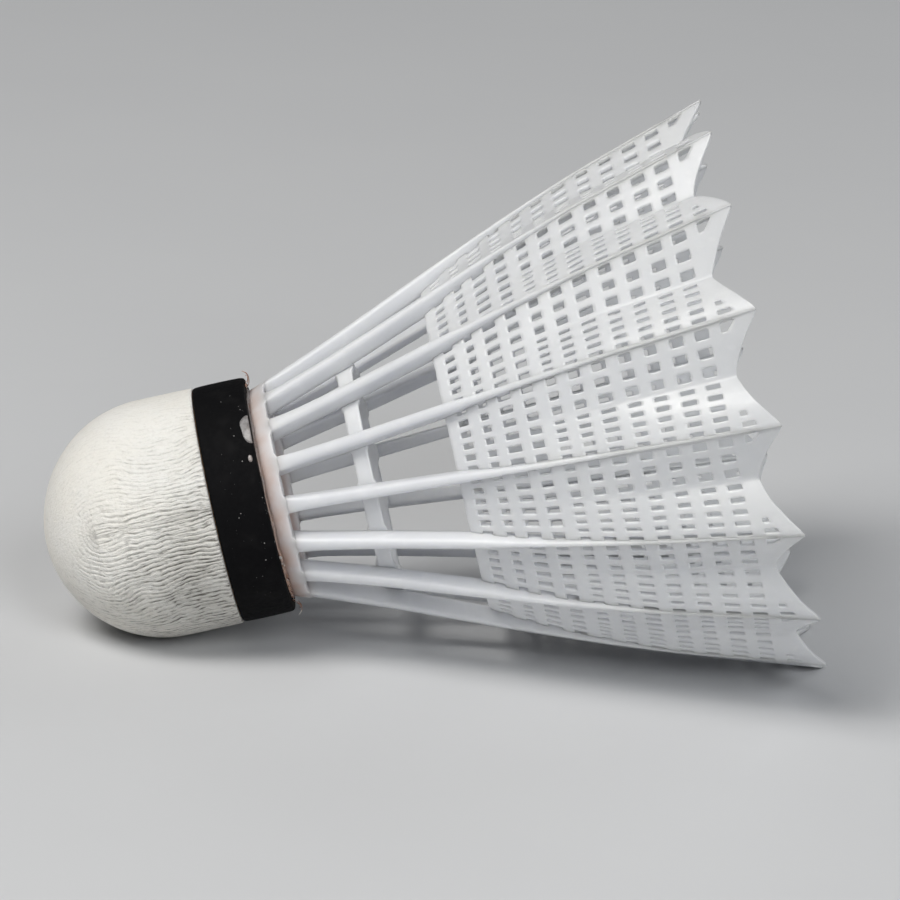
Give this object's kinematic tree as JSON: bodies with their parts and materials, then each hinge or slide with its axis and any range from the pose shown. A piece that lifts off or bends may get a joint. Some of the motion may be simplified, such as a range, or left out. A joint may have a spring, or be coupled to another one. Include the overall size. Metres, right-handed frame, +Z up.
{
  "type": "badminton shuttlecock",
  "caption": "Badminton shuttlecock lying on its side: leather-covered cork head with a black band, and a moulded nylon skirt with ribs, a cross ring and a pleated open mesh.",
  "frame": {"origin": "middle of the bounding box's bottom face: the surface the shuttlecock lies on, under the middle of its length", "axes": "+Z up; +X from the nose to the skirt's rim, along the surface; +Y completes the right-handed frame. The shuttlecock's own axis lies in the XZ plane and rises 15.0 degrees from nose to rim"},
  "size_m": [0.088, 0.0646, 0.0625],
  "materials": {
    "white_leather": "matte, finely wrinkled grain",
    "natural_cork": "bare natural cork",
    "pressed_cork": "bare pressed cork granules",
    "black_band": "dull black, dusty",
    "white_nylon": "satin, slightly translucent",
    "adhesive": "glossy, translucent, uneven"
  },
  "bodies": {
    "root": {"cork_nose": "natural_cork", "cork_body": "pressed_cork", "leather_cover": "white_leather", "black_band": "black_band", "adhesive_bead": "adhesive", "skirt_collar": "white_nylon", "skirt_cross_ring": "white_nylon", "skirt_rib_01": "white_nylon", "skirt_rib_02": "white_nylon", "skirt_rib_03": "white_nylon", "skirt_rib_04": "white_nylon", "skirt_rib_05": "white_nylon", "skirt_rib_06": "white_nylon", "skirt_rib_07": "white_nylon", "skirt_rib_08": "white_nylon", "skirt_rib_09": "white_nylon", "skirt_rib_10": "white_nylon", "skirt_rib_11": "white_nylon", "skirt_rib_12": "white_nylon", "skirt_rib_13": "white_nylon", "skirt_rib_14": "white_nylon", "skirt_rib_15": "white_nylon", "skirt_rib_16": "white_nylon", "skirt_web_01": "white_nylon", "skirt_web_02": "white_nylon", "skirt_web_03": "white_nylon", "skirt_web_04": "white_nylon", "skirt_web_05": "white_nylon", "skirt_web_06": "white_nylon", "skirt_web_07": "white_nylon", "skirt_web_08": "white_nylon", "skirt_web_09": "white_nylon", "skirt_web_10": "white_nylon", "skirt_web_11": "white_nylon", "skirt_web_12": "white_nylon", "skirt_web_13": "white_nylon", "skirt_web_14": "white_nylon", "skirt_web_15": "white_nylon", "skirt_web_16": "white_nylon"}
  },
  "joints": []
}
